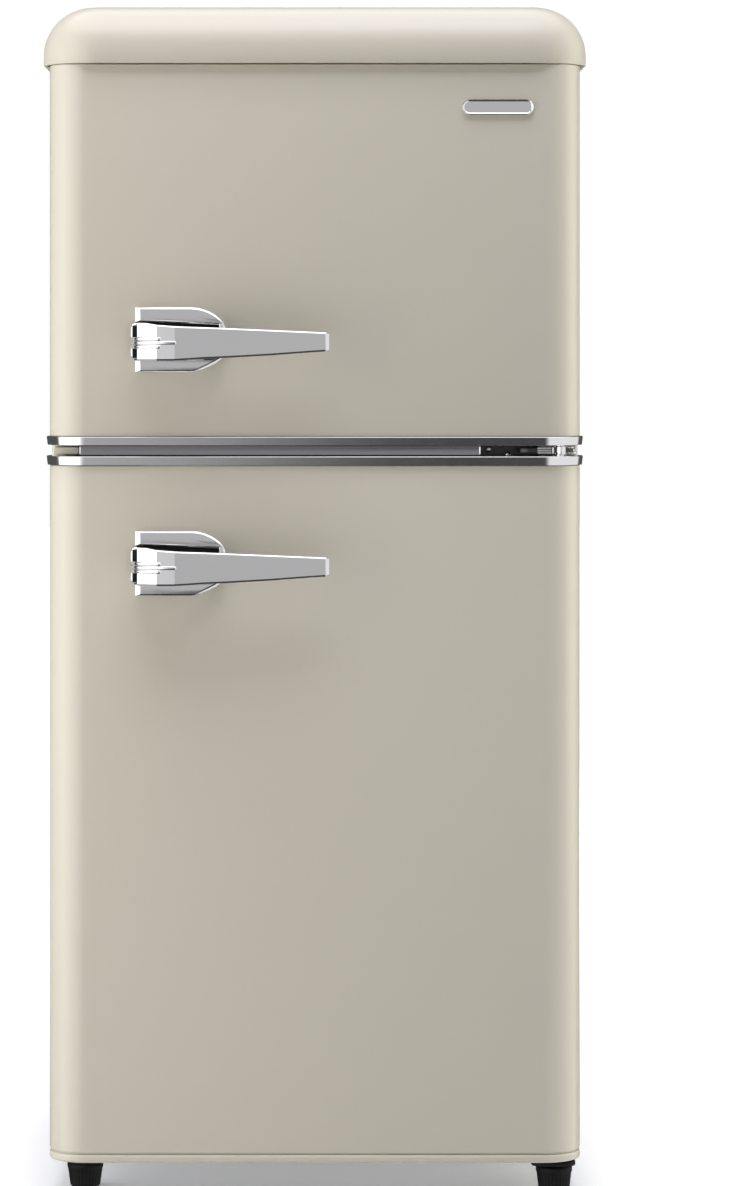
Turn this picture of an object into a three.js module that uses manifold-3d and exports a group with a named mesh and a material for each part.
// A two-door retro mini fridge, in millimetres. +Z is up, the doors face -Y, the hinges are at +X,
// and the origin is on the floor under the middle of the whole object.
// Run with Node and the npm packages three and manifold-3d.

import * as THREE from 'three';
import { mergeVertices } from 'three/addons/utils/BufferGeometryUtils.js';
import Module from 'manifold-3d';

const wasm = await Module();
wasm.setup();

// ---------- driving dimensions ----------

const BODY_WIDTH = 420;
const TOTAL_HEIGHT = 942;
const TOTAL_DEPTH = 484;
const CLEAR = 0.3;               // the gap kept between pieces that touch

const HANDLE_DEPTH = 34;         // the handle's stand-out from the door
const DOOR_DEPTH = 46;
const DOOR_RADIUS = 30;          // the rounding of the doors' upright front edges
const GASKET_DEPTH = 8;
const SHEET = 1.2;               // steel sheet
const LINER = 2;                 // moulded plastic liner

const COVER_OVERHANG = 4;        // the top cover stands out this far past the body all round
const COVER_RADIUS = 39;
const COVER_LIP = 7.6;           // the cover's upright rim below its rounding
const COVER_WALL = 3;
const COVER_PLAN_RADIUS = 46;

const TRIM_STANDOUT = 2.5;       // the chrome trims stand out this far past the doors' sides
const BAND_Z = 586.5;            // the underside of the gap between the two doors
const BAND_GAP = 8.7;
const UPPER_TRIM = 7;
const LOWER_TRIM = 7.4;

const DOOR_BOTTOM_Z = 31;
const DOOR_CAP = 8.2;            // height of the fridge door's bottom end cap
const CABINET_BOTTOM_Z = 31;
const CABINET_TOP_Z = 899;
const DOOR_TOP_GAP = 2;

const PIVOT_X = 194;             // the hinge line of both doors
const PIVOT_FROM_BACK = 23;      // from the doors' back face to the hinge line
const PIN_RADIUS = 3.6;
const BRACKET = 3;

const FREEZER = { halfWidth: 172, low: 622, high: 862, back: 190, corner: 14 };
const FRIDGE = { halfWidth: 172, low: 78, high: 555, back: 192, corner: 14 };
const STEP = { front: 70, top: 245 };                // the fridge cavity steps round the compressor
const MACHINE = { front: 110, top: 205 };            // the open space for the compressor

const HANDLE_Z = { freezer: 676.5, fridge: 501.1 };

// ---------- places worked out from them ----------

const HALF_WIDTH = BODY_WIDTH / 2;
const DOOR_FRONT = -TOTAL_DEPTH / 2 + HANDLE_DEPTH;
const DOOR_BACK = DOOR_FRONT + DOOR_DEPTH;
const CABINET_FRONT = DOOR_BACK + GASKET_DEPTH;
const CABINET_BACK = TOTAL_DEPTH / 2 - COVER_OVERHANG;
const PIVOT_Y = DOOR_BACK - PIVOT_FROM_BACK;
const COVER_LOW_Z = TOTAL_HEIGHT - COVER_RADIUS - COVER_LIP;
const FREEZER_DOOR = { low: BAND_Z + BAND_GAP + UPPER_TRIM, high: COVER_LOW_Z - DOOR_TOP_GAP };
const FRIDGE_DOOR = { low: DOOR_BOTTOM_Z + DOOR_CAP, high: BAND_Z - LOWER_TRIM };
const BAND_MIDDLE = BAND_Z + BAND_GAP / 2;
const FOAM_HALF = HALF_WIDTH - SHEET - CLEAR;

// ---------- shape tools ----------

const BASES = {
  x: [[0, 1, 0], [0, 0, 1], [1, 0, 0]],
  y: [[1, 0, 0], [0, 0, 1], [0, -1, 0]],
  z: [[1, 0, 0], [0, 1, 0], [0, 0, 1]],
};

// A closed three.js geometry as a manifold-3d solid.
function solidOf(geometry) {
  const bare = geometry.clone();
  bare.deleteAttribute('normal');
  bare.deleteAttribute('uv');
  const merged = mergeVertices(bare, 1e-4);
  return new wasm.Manifold(new wasm.Mesh({
    numProp: 3,
    vertProperties: new Float32Array(merged.attributes.position.array),
    triVerts: new Uint32Array(merged.index.array),
  }));
}

// A manifold-3d solid as a three.js geometry.
function geometryOf(solid) {
  const mesh = solid.getMesh();
  const geometry = new THREE.BufferGeometry();
  geometry.setAttribute('position', new THREE.BufferAttribute(mesh.vertProperties, 3));
  geometry.setIndex(new THREE.BufferAttribute(mesh.triVerts, 1));
  geometry.computeVertexNormals();
  return geometry;
}

// Turns a geometry made along +Z so that it runs along the named axis.
function along(geometry, axis) {
  const [u, v, w] = BASES[axis].map((values) => new THREE.Vector3(...values));
  return geometry.applyMatrix4(new THREE.Matrix4().makeBasis(u, v, w));
}

function box(x, y, z) {
  const geometry = new THREE.BoxGeometry(x[1] - x[0], y[1] - y[0], z[1] - z[0]);
  geometry.translate((x[0] + x[1]) / 2, (y[0] + y[1]) / 2, (z[0] + z[1]) / 2);
  return solidOf(geometry);
}

// A rectangle with its own radius at each corner: low left, low right, high right, high left.
function roundedRect(x, y, radii) {
  const [a, b, c, d] = Array.isArray(radii) ? radii : [radii, radii, radii, radii];
  const quarter = Math.PI / 2;
  const shape = new THREE.Shape();
  shape.moveTo(x[0] + a, y[0]);
  shape.lineTo(x[1] - b, y[0]);
  if (b > 0) shape.absarc(x[1] - b, y[0] + b, b, -quarter, 0);
  shape.lineTo(x[1], y[1] - c);
  if (c > 0) shape.absarc(x[1] - c, y[1] - c, c, 0, quarter);
  shape.lineTo(x[0] + d, y[1]);
  if (d > 0) shape.absarc(x[0] + d, y[1] - d, d, quarter, 2 * quarter);
  shape.lineTo(x[0], y[0] + a);
  if (a > 0) shape.absarc(x[0] + a, y[0] + a, a, 2 * quarter, 3 * quarter);
  return shape;
}

// A straight extrusion of an outline along an axis, with an optional rounded rim at both ends.
function prism(shape, axis, span, { segments = 4, bevel = 0, bevelSegments = 2 } = {}) {
  const geometry = new THREE.ExtrudeGeometry(shape, {
    depth: span[1] - span[0] - 2 * bevel,
    curveSegments: segments,
    bevelEnabled: bevel > 0,
    bevelThickness: bevel,
    bevelSize: bevel,
    bevelOffset: -bevel,
    bevelSegments,
  });
  const start = { x: [span[0] + bevel, 0, 0], y: [0, span[1] - bevel, 0], z: [0, 0, span[0] + bevel] };
  along(geometry, axis).translate(...start[axis]);
  return solidOf(geometry);
}

// A round piece along an axis. The centre gives the two coordinates across the axis.
function rod(axis, centre, radius, span, segments = 20) {
  const outline = new THREE.Shape();
  outline.absarc(0, 0, radius, 0, 2 * Math.PI);
  const solid = prism(outline, axis, span, { segments: segments / 2 });
  const move = { x: [0, ...centre], y: [centre[0], 0, centre[1]], z: [...centre, 0] };
  return solid.translate(move[axis]);
}

// A turned piece standing on Z. The profile runs from the axis to the axis as [radius, z].
function turned(profile, centre, segments = 24) {
  const points = profile.map(([r, z]) => new THREE.Vector2(r, z));
  const geometry = new THREE.LatheGeometry(points, segments);
  geometry.rotateX(Math.PI / 2);
  geometry.translate(centre[0], centre[1], 0);
  return solidOf(geometry);
}

// A round tube along a smooth path.
function pipe(points, radius, steps) {
  const path = new THREE.CatmullRomCurve3(points.map((p) => new THREE.Vector3(...p)), false, 'centripetal');
  const section = new THREE.Shape();
  section.absarc(0, 0, radius, 0, 2 * Math.PI);
  return solidOf(new THREE.ExtrudeGeometry(section, { steps, curveSegments: 4, extrudePath: path }));
}

function join(...solids) {
  return solids.reduce((whole, next) => whole.add(next));
}

function cut(solid, ...tools) {
  return tools.reduce((whole, tool) => whole.subtract(tool), solid);
}

// ---------- finishes ----------

const FINISHES = {
  cream_paint: [0xcfc8ba, 0.32, 0.0],
  cream_plastic: [0xcbc4b6, 0.4, 0.0],
  chrome: [0xc9c9cc, 0.12, 1.0],
  satin_steel: [0x8d8b8d, 0.35, 0.9],
  zinc_steel: [0x9a9da0, 0.45, 0.8],
  white_plastic: [0xe9eaea, 0.35, 0.0],
  clear_plastic: [0xdfe8ea, 0.15, 0.0],
  glass: [0xd6e6e2, 0.08, 0.0],
  grey_rubber: [0xb9b8b4, 0.7, 0.0],
  foam: [0xe0cf9a, 0.9, 0.0],
  black_plastic: [0x161617, 0.5, 0.0],
  black_paint: [0x1a1b1d, 0.4, 0.2],
  copper: [0xb06a45, 0.35, 1.0],
};

const fridge = new THREE.Group();

function add(name, finish, solid) {
  const [color, roughness, metalness] = FINISHES[finish];
  const mesh = new THREE.Mesh(geometryOf(solid), new THREE.MeshStandardMaterial({ color, roughness, metalness }));
  mesh.name = name;
  fridge.add(mesh);
}

// ---------- cabinet ----------

// A compartment's open space, grown by an amount on every side, and open towards the front.
function compartment(room, grow) {
  const corner = room.corner + grow;
  const outline = (low, lowCorner) => roundedRect(
    [-room.halfWidth - grow, room.halfWidth + grow],
    [low - grow, room.high + grow],
    [lowCorner, lowCorner, corner, corner],
  );
  const front = CABINET_FRONT - 1;
  if (room !== FRIDGE) return prism(outline(room.low, corner), 'y', [front, room.back + grow]);
  const upper = prism(outline(STEP.top, 0), 'y', [front, room.back + grow]);
  const lower = prism(outline(room.low, corner), 'y', [front, STEP.front + grow]);
  return join(upper, lower);
}

const SWITCH = { x: 60, z: 559.2, radius: 2.4, low: DOOR_BACK + CLEAR, high: CABINET_FRONT + 12 };

function switchHole() {
  return rod('y', [SWITCH.x, SWITCH.z], SWITCH.radius + 0.6, [CABINET_FRONT - 2, SWITCH.high + 2]);
}

function liner(room, flange) {
  const shell = compartment(room, LINER);
  const face = box([-FOAM_HALF, FOAM_HALF], [CABINET_FRONT, CABINET_FRONT + LINER], flange);
  const trimmed = shell.intersect(box([-300, 300], [CABINET_FRONT, 300], [0, TOTAL_HEIGHT]));
  return cut(join(trimmed, face), compartment(room, 0));
}

function insulation() {
  const block = box(
    [-FOAM_HALF, FOAM_HALF],
    [CABINET_FRONT + LINER + CLEAR, CABINET_BACK - SHEET - CLEAR],
    [CABINET_BOTTOM_Z + 2 + CLEAR, CABINET_TOP_Z - SHEET - CLEAR],
  );
  const machineRoom = box([-300, 300], [MACHINE.front, 300], [0, MACHINE.top]);
  const grow = LINER + CLEAR;
  return cut(block, compartment(FREEZER, grow), compartment(FRIDGE, grow), machineRoom, switchHole());
}

function addCabinet() {
  const sideSpan = [CABINET_FRONT, CABINET_BACK];
  const upright = [CABINET_BOTTOM_Z, CABINET_TOP_Z];
  for (const [side, sign] of [['left', -1], ['right', 1]]) {
    const across = [sign * HALF_WIDTH, sign * (HALF_WIDTH - SHEET)].sort((a, b) => a - b);
    add(`side_panel_${side}`, 'cream_paint', box(across, sideSpan, upright));
  }
  add('top_panel', 'zinc_steel', box(
    [-FOAM_HALF, FOAM_HALF],
    [CABINET_FRONT + CLEAR, CABINET_BACK - SHEET - CLEAR],
    [CABINET_TOP_Z - SHEET, CABINET_TOP_Z],
  ));
  add('back_panel', 'zinc_steel', box(
    [-FOAM_HALF, FOAM_HALF],
    [CABINET_BACK - SHEET, CABINET_BACK],
    [MACHINE.top - 12, CABINET_TOP_Z - SHEET - CLEAR],
  ));
  add('base_plate', 'zinc_steel', box(
    [-FOAM_HALF, FOAM_HALF],
    [CABINET_FRONT + CLEAR, CABINET_BACK],
    [CABINET_BOTTOM_Z, CABINET_BOTTOM_Z + 2],
  ));
  add('insulation', 'foam', insulation());
  const seam = BAND_MIDDLE;
  add('freezer_liner', 'white_plastic', liner(FREEZER, [seam + CLEAR / 2, CABINET_TOP_Z - SHEET - CLEAR]));
  const fridgeFlange = [CABINET_BOTTOM_Z + 2 + CLEAR, seam - CLEAR / 2];
  add('fridge_liner', 'white_plastic', cut(liner(FRIDGE, fridgeFlange), switchHole()));
}

// The domed cover's form, shrunk by an amount for its inner face. Its back is flat.
function coverForm(shrink) {
  const inset = COVER_RADIUS;
  const halfWidth = HALF_WIDTH + COVER_OVERHANG - inset;
  const depth = [DOOR_FRONT - COVER_OVERHANG + inset, TOTAL_DEPTH / 2 + inset];
  const corner = COVER_PLAN_RADIUS - inset;
  const rounding = COVER_RADIUS - shrink;
  const straight = 20;
  const geometry = new THREE.ExtrudeGeometry(roundedRect([-halfWidth, halfWidth], depth, corner), {
    depth: straight,
    curveSegments: 3,
    bevelThickness: rounding,
    bevelSize: rounding,
    bevelSegments: 8,
  });
  geometry.translate(0, 0, TOTAL_HEIGHT - shrink - rounding - straight);
  const behind = box([-300, 300], [TOTAL_DEPTH / 2 - shrink, 500], [0, 2 * TOTAL_HEIGHT]);
  return cut(solidOf(geometry), behind);
}

function addTopCover() {
  const below = box([-300, 300], [-300, 300], [0, COVER_LOW_Z]);
  const shell = cut(coverForm(0), coverForm(COVER_WALL), below);
  const ribs = [-120, 120].map((x) => box(
    [x - 2, x + 2],
    [CABINET_FRONT + 14, CABINET_BACK - 18],
    [CABINET_TOP_Z + CLEAR, TOTAL_HEIGHT - COVER_WALL / 2],
  ));
  add('top_cover', 'cream_plastic', join(shell, ...ribs));
}

// The satin bar and its end piece that close the gap between the doors.
function addMullionBar() {
  const across = [BAND_Z + 1.6, BAND_Z + BAND_GAP - 1.5];
  const depth = [DOOR_FRONT + 10, CABINET_FRONT - CLEAR];
  add('mullion_cover', 'satin_steel', box([-185, 130], depth, across));
  add('mullion_end_cap', 'cream_plastic', box([-206, -186], depth, across));
}

// ---------- hinges ----------

const MID_FLANGE_X = [132, 178];

function pinAt(span, radius = PIN_RADIUS) {
  return rod('z', [PIVOT_X, PIVOT_Y], radius, span, 16);
}

function addMidHinge() {
  const plateZ = [BAND_MIDDLE - BRACKET / 2, BAND_MIDDLE + BRACKET / 2];
  const flange = box(MID_FLANGE_X, [CABINET_FRONT - CLEAR - BRACKET, CABINET_FRONT - CLEAR], [580, 602]);
  const plate = prism(
    roundedRect([160, PIVOT_X + 11], [PIVOT_Y - 11, CABINET_FRONT - CLEAR - BRACKET / 2], [9, 9, 0, 0]),
    'z',
    plateZ,
  );
  add('mid_hinge_bracket', 'zinc_steel', cut(join(flange, plate), pinAt([500, 700], PIN_RADIUS + CLEAR)));
  add('mid_hinge_pin', 'chrome', pinAt([BAND_Z - LOWER_TRIM - 7, BAND_Z + BAND_GAP + UPPER_TRIM + 7]));
  const headDepth = [CABINET_FRONT - 2 * CLEAR - BRACKET - 2.4, CABINET_FRONT - 2 * CLEAR - BRACKET];
  [138.5, 148.5, 154].forEach((x, index) => {
    add(`mid_hinge_screw_${index + 1}`, 'zinc_steel', rod('y', [x, BAND_MIDDLE + [0, 4.2, -4.4][index]], 2.6, headDepth, 16));
  });
}

function addTopHinge() {
  const low = CABINET_TOP_Z + CLEAR;
  add('top_hinge_bracket', 'zinc_steel', prism(
    roundedRect([150, PIVOT_X + 8], [PIVOT_Y - 8, CABINET_FRONT + 60], 8),
    'z',
    [low, low + BRACKET],
  ));
  add('top_hinge_pin', 'zinc_steel', pinAt([FREEZER_DOOR.high - 12, low - CLEAR]));
}

function addBottomHinge() {
  const high = DOOR_BOTTOM_Z - 2;
  const plate = prism(
    roundedRect([150, PIVOT_X + 13], [PIVOT_Y - 14, CABINET_FRONT + 50], 9),
    'z',
    [high - BRACKET, high],
  );
  const spacer = box([155, PIVOT_X + 8], [CABINET_FRONT + 2, CABINET_FRONT + 45], [high - 1, CABINET_BOTTOM_Z - CLEAR]);
  add('bottom_hinge_bracket', 'black_paint', join(plate, spacer));
  add('bottom_hinge_pin', 'zinc_steel', pinAt([high + CLEAR, DOOR_BOTTOM_Z + 12]));
}

// ---------- feet ----------

const FEET = [
  ['front_foot_left', [-184, -138], CABINET_BOTTOM_Z],
  ['front_foot_right', [190, -170], DOOR_BOTTOM_Z - 2 - BRACKET],
  ['rear_foot_left', [-180, 212], CABINET_BOTTOM_Z],
  ['rear_foot_right', [180, 212], CABINET_BOTTOM_Z],
];

function addFeet() {
  for (const [name, centre, top] of FEET) {
    const profile = [[0, 0], [11.5, 0], [12.8, 1.6], [14.4, 17], [14.4, 19], [4, 19], [4, top - CLEAR], [0, top - CLEAR]];
    add(name, 'black_plastic', turned(profile, centre, 20));
  }
}

// ---------- machine room ----------

function addMachineRoom() {
  const centre = [60, 172];
  const profile = [
    [0, 37], [38, 37], [48, 44], [52, 58], [52, 94], [54, 95], [54, 98], [52, 99],
    [51, 118], [44, 136], [28, 146], [0, 149],
  ];
  add('compressor', 'black_paint', turned(profile, centre));
  add('compressor_mount', 'zinc_steel', box([-10, 130], [118, 226], [33.3, 36.6]));
  add('relay_cover', 'black_plastic', prism(roundedRect([-28, 4], [150, 194], 4), 'z', [66, 116], { bevel: 2 }));
  add('suction_tube', 'copper', pipe([[115, 172, 110], [132, 174, 112], [142, 190, 140], [142, 190, 203.6]], 4, 14));
  add('discharge_tube', 'copper', pipe([[115, 160, 76], [140, 158, 78], [166, 150, 110], [166, 150, 203.6]], 3, 14));
  const tray = box([8, 112], [122, 222], [151, 168]);
  add('drip_tray', 'white_plastic', cut(tray, box([10.5, 109.5], [124.5, 219.5], [153.5, 170])));
  const gland = rod('y', [-160, 232], 9, [CABINET_BACK + CLEAR, CABINET_BACK + 2]);
  const boss = rod('y', [-160, 232], 5.5, [CABINET_BACK + 1, TOTAL_DEPTH / 2 - 0.2]);
  add('cord_gland', 'black_plastic', join(gland, boss));
}

// ---------- inside the compartments ----------

const DIAL = { x: 132, z: 531, radius: 15 };

function addControls() {
  const ceiling = FRIDGE.high - CLEAR;
  const front = -60;
  const housing = prism(roundedRect([58, 160], [front, 24], 6), 'z', [ceiling - 40, ceiling], { bevel: 2 });
  add('thermostat_housing', 'white_plastic', housing);
  add('light_lens', 'clear_plastic', prism(roundedRect([66, 112], [-50, 14], 5), 'z', [ceiling - 50, ceiling - 40 - CLEAR]));
  const disc = rod('y', [DIAL.x, DIAL.z], DIAL.radius, [front - 6, front - CLEAR], 28);
  const grip = box([DIAL.x - 2.5, DIAL.x + 2.5], [front - 14, front - 5], [DIAL.z - 13, DIAL.z + 13]);
  add('thermostat_dial', 'white_plastic', join(disc, grip));
  add('light_switch', 'white_plastic', rod('y', [SWITCH.x, SWITCH.z], SWITCH.radius, [SWITCH.low, SWITCH.high], 16));
}

const SHELF_FRONT = -106;

function glassShelf(z, front) {
  return prism(
    roundedRect([-FRIDGE.halfWidth + 1, FRIDGE.halfWidth - 1], [front, FRIDGE.back - 4], 6),
    'z',
    [z, z + 4],
  );
}

const CRISPER = { halfWidth: 160, front: -76, back: 62, low: 80, high: 232, wall: 2.5 };

function addShelves() {
  add('glass_shelf_upper', 'glass', glassShelf(440, SHELF_FRONT));
  add('glass_shelf_lower', 'glass', glassShelf(345, SHELF_FRONT));
  add('crisper_cover', 'glass', glassShelf(STEP.top + CLEAR, CRISPER.front - 4));
  const c = CRISPER;
  const tub = prism(roundedRect([-c.halfWidth, c.halfWidth], [c.front, c.back], 10), 'z', [c.low, c.high]);
  const hollow = prism(
    roundedRect([-c.halfWidth + c.wall, c.halfWidth - c.wall], [c.front + c.wall, c.back - c.wall], 8),
    'z',
    [c.low + c.wall, c.high + 10],
  );
  const grip = box([-60, 60], [c.front - 10, c.front + 1], [c.high - 24, c.high - 20]);
  add('crisper_drawer', 'clear_plastic', join(cut(tub, hollow), grip));
}

// The freezer's shelf: a ring of thick wire with thinner wires across it.
function addFreezerShelf() {
  const half = FREEZER.halfWidth - 3;
  const depth = [SHELF_FRONT, FREEZER.back - 8];
  const z = 742;
  const outer = prism(roundedRect([-half, half], depth, 8), 'z', [z - 2.5, z + 2.5]);
  const inner = prism(roundedRect([-half + 5, half - 5], [depth[0] + 5, depth[1] - 5], 5), 'z', [z - 9, z + 9]);
  const wires = [];
  const gaps = 14;
  for (let index = 1; index < gaps; index += 1) {
    const x = -half + (2 * half * index) / gaps;
    wires.push(rod('y', [x, z], 1.5, [depth[0] + 2, depth[1] - 2], 8));
  }
  const middle = (depth[0] + depth[1]) / 2;
  wires.push(rod('x', [middle, z - 1.8], 2, [-half + 2, half - 2], 8));
  add('freezer_shelf', 'chrome', join(cut(outer, inner), ...wires));
}

// ---------- doors ----------

// The doors' plan outline, grown by an amount.
function doorOutline(grow, back = DOOR_BACK, rear = 1) {
  const radius = DOOR_RADIUS + grow;
  return roundedRect([-HALF_WIDTH - grow, HALF_WIDTH + grow], [DOOR_FRONT - grow, back], [radius, radius, rear, rear]);
}

const OUTLINE_SEGMENTS = 5;

function doorSkin(low, high) {
  const outside = prism(doorOutline(0), 'z', [low, high], { segments: OUTLINE_SEGMENTS });
  const inside = prism(doorOutline(-SHEET, DOOR_BACK + 20), 'z', [low - 5, high + 5], { segments: OUTLINE_SEGMENTS });
  return cut(outside, inside);
}

// An end plate inside or below the skin, with the hinge pin's hole.
function endPlate(grow, span, bevel = 0) {
  const outline = doorOutline(grow, DOOR_BACK, 1 + 2 * bevel);
  const plate = prism(outline, 'z', span, { segments: OUTLINE_SEGMENTS, bevel, bevelSegments: 1 });
  return cut(plate, pinAt([span[0] - 5, span[1] + 5], PIN_RADIUS + 0.5));
}

const INSIDE_SKIN = -SHEET - CLEAR;
const DYKE = { halfWidth: 158, width: 10, back: DOOR_BACK + 45 };

function doorCore(low, high) {
  const core = prism(doorOutline(INSIDE_SKIN, DOOR_BACK - LINER - CLEAR), 'z', [low, high], { segments: OUTLINE_SEGMENTS });
  const pins = [[low - 5, low + 16], [high - 16, high + 5]].map((span) => pinAt(span, PIN_RADIUS + 0.5));
  return cut(core, ...pins);
}

// The inner liner: a back plate with a raised frame that goes inside the compartment.
function doorLiner(low, high, dyke) {
  const x = HALF_WIDTH + INSIDE_SKIN;
  const plate = box([-x, x], [DOOR_BACK - LINER, DOOR_BACK], [low, high]);
  const ring = prism(roundedRect([-DYKE.halfWidth, DYKE.halfWidth], dyke, 10), 'y', [DOOR_BACK - 1, DYKE.back]);
  const room = DYKE.halfWidth - DYKE.width;
  const hollow = prism(
    roundedRect([-room, room], [dyke[0] + DYKE.width, dyke[1] - DYKE.width], 6),
    'y',
    [DOOR_BACK, DYKE.back + 5],
  );
  return cut(join(plate, ring), hollow);
}

const GASKET = { halfWidth: 193, width: 10 };

function doorGasket(low, high) {
  const outer = prism(roundedRect([-GASKET.halfWidth, GASKET.halfWidth], [low, high], 6), 'y', [
    DOOR_BACK + CLEAR,
    CABINET_FRONT - 0.4,
  ]);
  const room = GASKET.halfWidth - GASKET.width;
  const inner = prism(roundedRect([-room, room], [low + GASKET.width, high - GASKET.width], 4), 'y', [-300, 0]);
  return cut(outer, inner);
}

function doorBin(low, high) {
  const half = DYKE.halfWidth - DYKE.width - 0.6;
  const wall = 2.5;
  const depth = [DOOR_BACK + CLEAR, DYKE.back - 3];
  const tub = prism(roundedRect([-half, half], depth, [2, 2, 8, 8]), 'z', [low, high]);
  const hollow = prism(
    roundedRect([-half + wall, half - wall], [depth[0] + wall, depth[1] - wall], [1, 1, 6, 6]),
    'z',
    [low + wall, high + 10],
  );
  return cut(tub, hollow);
}

// ---------- handles ----------

const HANDLE = {
  left: -144.2,
  tip: 11.6,
  baseLeft: -140.6,
  baseRight: -70,
  baseTop: 27.2,
  baseLow: -23.7,
  baseDepth: 8,
};

function handleBase(z) {
  const h = HANDLE;
  const outline = new THREE.Shape();
  outline.moveTo(h.baseLeft, z + h.baseLow);
  outline.lineTo(-95.7, z + h.baseLow);
  outline.quadraticCurveTo(-82, z + h.baseLow, -76, z - 16.4);
  outline.quadraticCurveTo(h.baseRight, z - 12, h.baseRight, z - 6);
  outline.lineTo(h.baseRight, z + 8);
  outline.quadraticCurveTo(h.baseRight - 1, z + h.baseTop - 1, -92, z + h.baseTop);
  outline.lineTo(h.baseLeft, z + h.baseTop);
  return prism(outline, 'y', [DOOR_FRONT - CLEAR - h.baseDepth, DOOR_FRONT - CLEAR], { segments: 6, bevel: 1.4 });
}

// The lever: its outline seen from the front, cut out of its outline seen from above.
function handleLever(z) {
  const h = HANDLE;
  const face = new THREE.Shape();
  face.moveTo(h.left, z - 11);
  face.quadraticCurveTo(h.left, z - 14.8, h.left + 5, z - 14.8);
  face.lineTo(-124, z - 14.8);
  face.lineTo(h.tip, z - 7.5);
  face.lineTo(h.tip, z + 7.1);
  face.lineTo(h.left + 5, z + 15);
  face.quadraticCurveTo(h.left, z + 15, h.left, z + 11);
  const front = -TOTAL_DEPTH / 2;
  const back = DOOR_FRONT - 2 * CLEAR - h.baseDepth;
  const plan = new THREE.Shape();
  plan.moveTo(h.left, back);
  plan.lineTo(h.left, front + 12);
  plan.quadraticCurveTo(h.left, front, h.left + 14, front);
  plan.lineTo(h.left + 30, front);
  plan.lineTo(h.tip, front + 5);
  plan.lineTo(h.tip, front + 12);
  plan.lineTo(-72, front + 13);
  plan.quadraticCurveTo(-90, front + 14, -98, back);
  const seenFromFront = prism(face, 'y', [front - 5, 0], { segments: 4 });
  const seenFromAbove = prism(plan, 'z', [z - 40, z + 40], { segments: 6 });
  return seenFromFront.intersect(seenFromAbove);
}

function addHandle(door) {
  add(`${door}_handle_base`, 'chrome', handleBase(HANDLE_Z[door]));
  add(`${door}_handle_lever`, 'chrome', handleLever(HANDLE_Z[door]));
}

function addFreezerDoor() {
  const { low, high } = FREEZER_DOOR;
  const cap = 6;
  add('freezer_door_skin', 'cream_paint', doorSkin(low, high));
  add('freezer_door_top_cap', 'cream_plastic', endPlate(INSIDE_SKIN, [high - cap, high]));
  add('freezer_door_trim', 'chrome', endPlate(TRIM_STANDOUT, [low - UPPER_TRIM, low - CLEAR], 1.5));
  add('freezer_door_core', 'foam', doorCore(low + CLEAR, high - cap - CLEAR));
  add('freezer_door_liner', 'white_plastic', doorLiner(low + CLEAR, high - cap - CLEAR, [632, 852]));
  add('freezer_door_gasket', 'grey_rubber', doorGasket(607, 878));
  add('freezer_door_bin', 'clear_plastic', doorBin(650, 702));
  const badge = roundedRect([116, 172], [855, 867], 6);
  add('freezer_door_badge', 'chrome', prism(badge, 'y', [DOOR_FRONT - CLEAR - 1.8, DOOR_FRONT - CLEAR], { bevel: 0.6 }));
  addHandle('freezer');
}

function addFridgeDoor() {
  const { low, high } = FRIDGE_DOOR;
  add('fridge_door_skin', 'cream_paint', doorSkin(low, high));
  add('fridge_door_bottom_cap', 'cream_plastic', endPlate(0, [DOOR_BOTTOM_Z, low - CLEAR], 1.5));
  add('fridge_door_trim', 'chrome', endPlate(TRIM_STANDOUT, [high + CLEAR, BAND_Z], 1.5));
  add('fridge_door_core', 'foam', doorCore(low + CLEAR, high - CLEAR));
  add('fridge_door_liner', 'white_plastic', doorLiner(low + CLEAR, high - CLEAR, [88, 548]));
  add('fridge_door_gasket', 'grey_rubber', doorGasket(58, 574));
  add('fridge_door_bin', 'clear_plastic', doorBin(398, 452));
  add('fridge_door_bottle_rack', 'clear_plastic', doorBin(106, 178));
  addHandle('fridge');
}

// ---------- the whole fridge ----------

addCabinet();
addTopCover();
addMullionBar();
addMidHinge();
addTopHinge();
addBottomHinge();
addFeet();
addMachineRoom();
addControls();
addShelves();
addFreezerShelf();
addFreezerDoor();
addFridgeDoor();

export default fridge;
